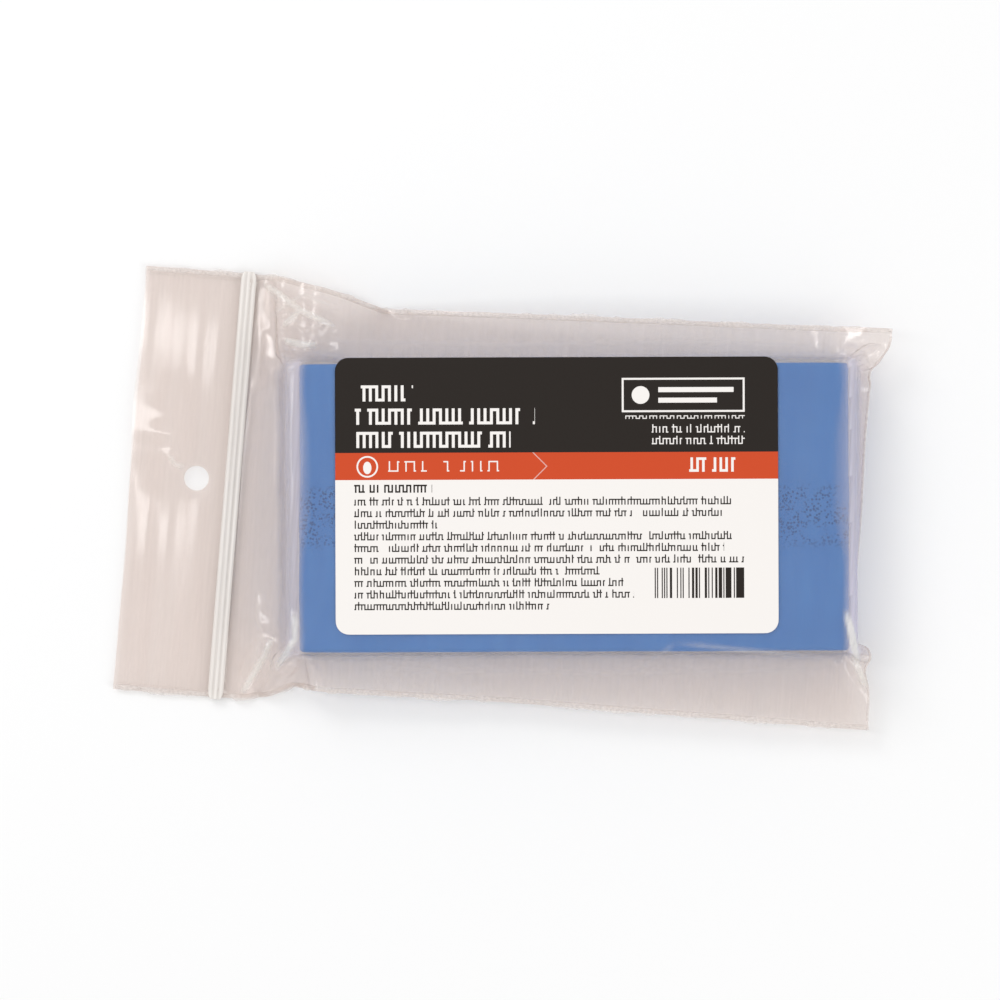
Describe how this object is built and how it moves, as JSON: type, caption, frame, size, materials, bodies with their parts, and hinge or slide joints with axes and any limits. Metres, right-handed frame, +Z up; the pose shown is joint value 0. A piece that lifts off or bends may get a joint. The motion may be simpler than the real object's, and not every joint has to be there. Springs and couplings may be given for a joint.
{
  "type": "clay bar",
  "caption": "Rectangular bar of car detailing clay lying in a clear grip-seal bag, with a press-to-close zip, a hang hole in the lips and a printed label on the front.",
  "frame": {"origin": "under the middle of the laid bag's outline, on the surface that the pack lies on", "axes": "+X along the bag from its mouth to its folded end, +Y across the bag, +Z up out of the labelled front"},
  "size_m": [0.1374, 0.0772, 0.012],
  "materials": {
    "clay": "matt, slightly waxy",
    "film": "clear polythene, glossy",
    "zip": "translucent polythene profile",
    "label": "printed paper with a soft sheen"
  },
  "bodies": {
    "bag_back": {"rear_film": "film", "rear_lip": "film", "zip_rib": "zip", "side_weld_upper": "film", "side_weld_lower": "film", "bottom_fold": "film"},
    "bag_front": {"front_film": "film", "front_lip": "film", "zip_groove": "zip", "label": "label"},
    "bar": {"clay_bar": "clay"}
  },
  "joints": [
    {"name": "mouth_open", "type": "hinge", "parent": "bag_back", "child": "bag_front", "pos_m": [0.0681, 0, 0.0008], "axis": [0, 1, 0], "range_deg": [0, 10]},
    {"name": "bar_slide", "type": "slide", "parent": "bag_back", "child": "bar", "axis": [1, 0, 0], "range_m": [-0.002, 0.001]}
  ]
}
